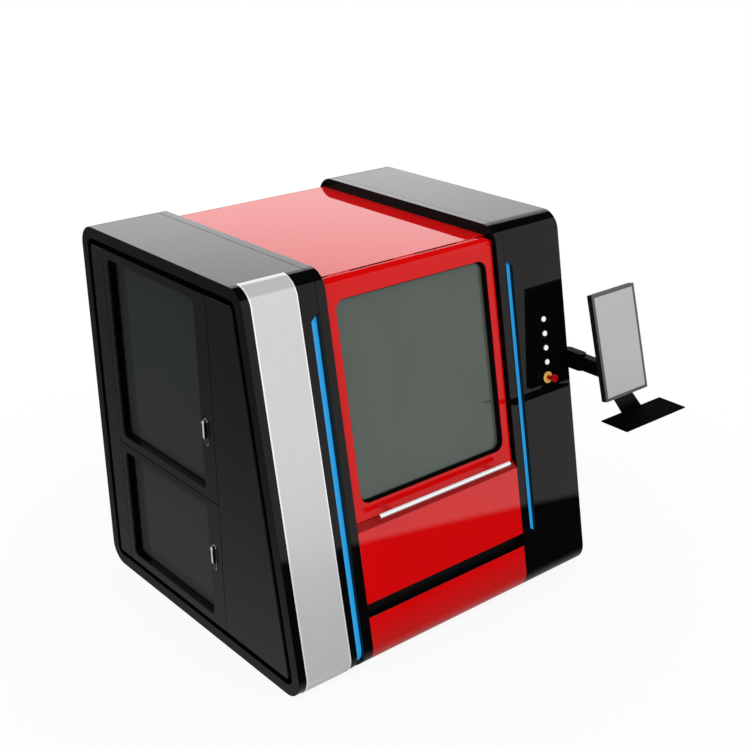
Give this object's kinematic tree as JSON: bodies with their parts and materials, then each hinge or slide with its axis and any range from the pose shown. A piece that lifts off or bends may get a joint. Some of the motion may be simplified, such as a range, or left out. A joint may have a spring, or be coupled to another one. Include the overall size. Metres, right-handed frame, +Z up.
{
  "type": "laser cutting machine",
  "caption": "Enclosed sheet metal laser cutter with sloped black side cabinets, a red centre with a flip-up window door, light strips, and a monitor with keyboard tray on an arm.",
  "frame": {"origin": "on the floor, at the middle of the enclosure's width and depth", "axes": "+X to the right as seen from the front, +Y to the back, +Z up"},
  "size_m": [2.2195, 2.0417, 1.853],
  "materials": {
    "black_paint": "high gloss black powder coat",
    "red_paint": "high gloss red powder coat",
    "side_paint": "satin dark grey powder coat",
    "frame_paint": "matt black powder coat",
    "silver_sheet": "fine silver finish",
    "light_strip": "lit blue diffuser",
    "door_glass": "tinted laser safety glass",
    "side_glass": "dark tinted glass",
    "bright_metal": "polished",
    "steel": "ground steel",
    "bed_paint": "grey machine paint",
    "alloy": "clear anodised",
    "dark_alloy": "black anodised",
    "cabinet_grey": "light grey powder coat",
    "case_plastic": "fine textured black plastic",
    "screen": "display panel",
    "white_lens": "milky white lens",
    "yellow_plastic": "yellow plastic",
    "red_plastic": "red plastic",
    "tray_paint": "black powder coat"
  },
  "bodies": {
    "machine": {"base_frame": "bed_paint", "left_wrap": "black_paint", "right_wrap": "black_paint", "left_inner_panel": "black_paint", "right_inner_panel": "black_paint", "left_side_frame": "frame_paint", "right_side_frame": "frame_paint", "left_side_panels": "side_paint", "right_side_panel": "side_paint", "silver_trim": "silver_sheet", "left_led": "light_strip", "right_led": "light_strip", "top_cover": "red_paint", "rear_panel": "black_paint", "exhaust_collar": "steel", "lower_front_panel": "red_paint", "pull_recess": "frame_paint", "machine_bed": "bed_paint", "slats": "steel", "y_rails": "steel", "door_hinges": "red_paint", "laser_source": "bed_paint", "chiller": "cabinet_grey", "control_rack": "cabinet_grey", "button_bezels": "case_plastic", "stop_ring": "yellow_plastic", "arm_bracket": "tray_paint", "side_door_pivots": "frame_paint"},
    "front_door": {"front_door": "red_paint", "door_window_trim": "frame_paint", "door_window": "door_glass", "door_handle": "bright_metal"},
    "left_strut_tube": {"left_strut_tube": "frame_paint"},
    "left_strut_rod": {"left_strut_rod": "bright_metal"},
    "right_strut_tube": {"right_strut_tube": "frame_paint"},
    "right_strut_rod": {"right_strut_rod": "bright_metal"},
    "upper_side_door": {"upper_side_door": "side_paint", "upper_side_window": "side_glass", "upper_latch_plate": "bright_metal"},
    "upper_latch_lever": {"upper_latch_lever": "bright_metal"},
    "lower_side_door": {"lower_side_door": "side_paint", "lower_side_window": "side_glass", "lower_latch_plate": "bright_metal"},
    "lower_latch_lever": {"lower_latch_lever": "bright_metal"},
    "drawer": {"scrap_drawer": "steel", "drawer_front": "red_paint"},
    "gantry": {"gantry_beam": "alloy"},
    "x_carriage": {"x_carriage": "dark_alloy"},
    "cutting_head": {"cutting_head": "alloy"},
    "button_1": {"button_1": "white_lens"},
    "button_2": {"button_2": "white_lens"},
    "button_3": {"button_3": "white_lens"},
    "button_4": {"button_4": "white_lens"},
    "stop_head": {"stop_head": "red_plastic"},
    "arm_link": {"arm_link": "tray_paint"},
    "arm_forearm": {"arm_forearm": "tray_paint"},
    "monitor_yoke": {"monitor_yoke": "tray_paint"},
    "monitor": {"monitor_housing": "case_plastic", "monitor_screen": "screen", "keyboard_tray": "tray_paint"}
  },
  "joints": [
    {"name": "front_door_hinge", "type": "hinge", "parent": "machine", "child": "front_door", "pos_m": [0, -0.45367, 1.793], "axis": [-1, 0, 0], "range_deg": [0, 75]},
    {"name": "left_strut_swing", "type": "hinge", "parent": "machine", "child": "left_strut_tube", "pos_m": [-0.488, -0.42867, 1.273], "axis": [1, 0, 0], "range_deg": [0, 16.5]},
    {"name": "left_strut_stroke", "type": "slide", "parent": "left_strut_tube", "child": "left_strut_rod", "axis": [0, -0.1439, 0.9896], "range_m": [0, 0.2147]},
    {"name": "right_strut_swing", "type": "hinge", "parent": "machine", "child": "right_strut_tube", "pos_m": [0.488, -0.42867, 1.273], "axis": [1, 0, 0], "range_deg": [0, 16.5]},
    {"name": "right_strut_stroke", "type": "slide", "parent": "right_strut_tube", "child": "right_strut_rod", "axis": [0, -0.1439, 0.9896], "range_m": [0, 0.2147]},
    {"name": "upper_side_door_hinge", "type": "hinge", "parent": "machine", "child": "upper_side_door", "pos_m": [-0.926, 0.634, 1.2655], "axis": [0, 0, -1], "range_deg": [0, 110]},
    {"name": "upper_latch_turn", "type": "hinge", "parent": "upper_side_door", "child": "upper_latch_lever", "pos_m": [-0.932, -0.1872, 1.16], "axis": [-1, 0, 0], "range_deg": [0, 90]},
    {"name": "lower_side_door_hinge", "type": "hinge", "parent": "machine", "child": "lower_side_door", "pos_m": [-0.926, 0.634, 0.4225], "axis": [0, 0, -1], "range_deg": [0, 110]},
    {"name": "lower_latch_turn", "type": "hinge", "parent": "lower_side_door", "child": "lower_latch_lever", "pos_m": [-0.932, -0.1872, 0.516], "axis": [-1, 0, 0], "range_deg": [0, 90]},
    {"name": "drawer_slide", "type": "slide", "parent": "machine", "child": "drawer", "axis": [0, -1, 0], "range_m": [0, 0.55]},
    {"name": "gantry_y", "type": "slide", "parent": "machine", "child": "gantry", "axis": [0, -1, 0], "range_m": [0, 0.95]},
    {"name": "carriage_x", "type": "slide", "parent": "gantry", "child": "x_carriage", "axis": [1, 0, 0], "range_m": [-0.36, 0.36]},
    {"name": "head_z", "type": "slide", "parent": "x_carriage", "child": "cutting_head", "axis": [0, 0, 1], "range_m": [-0.045, 0.06]},
    {"name": "button_1_press", "type": "slide", "parent": "machine", "child": "button_1", "axis": [0, 0.9842, -0.1771], "range_m": [0, 0.003], "stiffness_N_per_m": 600},
    {"name": "button_2_press", "type": "slide", "parent": "machine", "child": "button_2", "axis": [0, 0.9842, -0.1771], "range_m": [0, 0.003], "stiffness_N_per_m": 600},
    {"name": "button_3_press", "type": "slide", "parent": "machine", "child": "button_3", "axis": [0, 0.9842, -0.1771], "range_m": [0, 0.003], "stiffness_N_per_m": 600},
    {"name": "button_4_press", "type": "slide", "parent": "machine", "child": "button_4", "axis": [0, 0.9842, -0.1771], "range_m": [0, 0.003], "stiffness_N_per_m": 600},
    {"name": "stop_press", "type": "slide", "parent": "machine", "child": "stop_head", "axis": [0, 0.9842, -0.1771], "range_m": [0, 0.005], "stiffness_N_per_m": 900},
    {"name": "arm_swivel", "type": "hinge", "parent": "machine", "child": "arm_link", "pos_m": [1.046, -0.48, 1.068], "axis": [0, 0, 1], "range_deg": [-10, 90]},
    {"name": "elbow_swivel", "type": "hinge", "parent": "arm_link", "child": "arm_forearm", "pos_m": [1.046, -0.63, 1.068], "axis": [0, 0, 1], "range_deg": [-10, 60]},
    {"name": "monitor_pan", "type": "hinge", "parent": "arm_forearm", "child": "monitor_yoke", "pos_m": [1.046, -0.8, 1.068], "axis": [0, 0, 1], "range_deg": [-15, 30]},
    {"name": "monitor_tilt", "type": "hinge", "parent": "monitor_yoke", "child": "monitor", "pos_m": [1.046, -0.8447, 1.068], "axis": [1, 0, 0], "range_deg": [-8, 15]}
  ],
  "couplings": [
    {"joint": "left_strut_swing", "follows": "front_door_hinge", "ratio": 0.21651},
    {"joint": "left_strut_stroke", "follows": "front_door_hinge", "m_per_rad": 0.16328},
    {"joint": "right_strut_swing", "follows": "front_door_hinge", "ratio": 0.21651},
    {"joint": "right_strut_stroke", "follows": "front_door_hinge", "m_per_rad": 0.16328}
  ]
}
